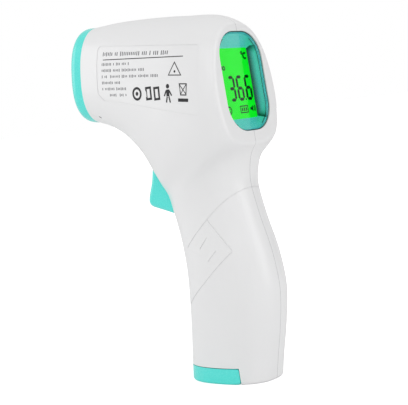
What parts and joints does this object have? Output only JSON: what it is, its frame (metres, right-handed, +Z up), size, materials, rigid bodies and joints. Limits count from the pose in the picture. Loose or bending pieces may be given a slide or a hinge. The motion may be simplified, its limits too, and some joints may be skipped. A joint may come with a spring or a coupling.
{
  "type": "infrared thermometer",
  "caption": "Hand-held infrared thermometer with a curved grip, a finger trigger, a tilted back display, a nose sensor and a hinged battery door.",
  "frame": {"origin": "on the split plane, on the flat foot that the thermometer stands on, below the middle of the handle", "axes": "-X is the way the nose aims, +X faces the user, +Y is the device's right side, +Z is up"},
  "size_m": [0.0927, 0.0464, 0.1569],
  "materials": {
    "case_white": "satin moulded ABS, very light grey white",
    "teal_plastic": "glossy moulded ABS, turquoise",
    "window_clear": "clear polished acrylic",
    "lcd_green": "backlit liquid crystal glass, bright green",
    "light_guide": "milky light guide",
    "elastomer": "striped conductive rubber",
    "board_green": "solder mask over glass fibre board",
    "chip_black": "moulded epoxy packages",
    "holder_black": "black moulded nylon",
    "barrel_metal": "turned and polished metal",
    "sensor_steel": "nickel plated can",
    "filter_dark": "coated silicon filter",
    "steel": "plated steel",
    "cell_sleeve": "printed plastic sleeve over a metal can",
    "wire_red": "soft insulated wire"
  },
  "bodies": {
    "root": {"left_shell": "case_white", "right_shell": "case_white", "nose_cap": "teal_plastic", "sensor_barrel": "barrel_metal", "sensor_can": "sensor_steel", "sensor_window": "filter_dark", "sensor_holder": "holder_black", "sensor_board": "board_green", "display_bezel": "teal_plastic", "display_window": "window_clear", "lcd_panel": "lcd_green", "lcd_backlight": "light_guide", "zebra_strip": "elastomer", "main_board": "board_green", "board_screws": "steel", "board_chips": "chip_black", "buzzer": "chip_black", "trigger_pin": "steel", "trigger_board": "board_green", "trigger_switch_body": "chip_black", "key_board": "board_green", "key_board_screws": "steel", "mode_switch_body": "chip_black", "set_switch_body": "chip_black", "door_pin": "steel", "battery_cradle": "holder_black", "battery_front": "cell_sleeve", "battery_rear": "cell_sleeve", "battery_top_contacts": "steel", "case_screws": "steel", "sensor_wires": "wire_red", "battery_wires": "wire_red", "trigger_wires": "wire_red"},
    "trigger": {"trigger": "teal_plastic", "trigger_spring": "steel"},
    "trigger_plunger": {"trigger_switch_plunger": "holder_black"},
    "mode_key": {"mode_button": "teal_plastic", "mode_switch_plunger": "holder_black"},
    "set_key": {"set_button": "teal_plastic", "set_switch_plunger": "holder_black"},
    "battery_door": {"battery_door": "teal_plastic", "door_contact": "steel"}
  },
  "joints": [
    {"name": "trigger_pivot", "type": "hinge", "parent": "root", "child": "trigger", "pos_m": [-0.0254, 0, 0.0954], "axis": [0, -1, 0], "range_deg": [0, 6], "stiffness_Nm_per_rad": 0.3, "springref_deg": -4.58},
    {"name": "trigger_plunger_slide", "type": "slide", "parent": "root", "child": "trigger_plunger", "axis": [1, 0, 0], "range_m": [0, 0.00075]},
    {"name": "mode_key_slide", "type": "slide", "parent": "root", "child": "mode_key", "axis": [0, -1, 0], "range_m": [0, 0.0007], "stiffness_N_per_m": 800, "springref_m": -0.0005},
    {"name": "set_key_slide", "type": "slide", "parent": "root", "child": "set_key", "axis": [0, -1, 0], "range_m": [0, 0.0007], "stiffness_N_per_m": 800, "springref_m": -0.0005},
    {"name": "battery_door_hinge", "type": "hinge", "parent": "root", "child": "battery_door", "pos_m": [0.008, 0, 0.002], "axis": [0, -1, 0], "range_deg": [0, 95]}
  ],
  "couplings": [
    {"joint": "trigger_plunger_slide", "follows": "trigger_pivot", "m_per_rad": 0.007}
  ]
}
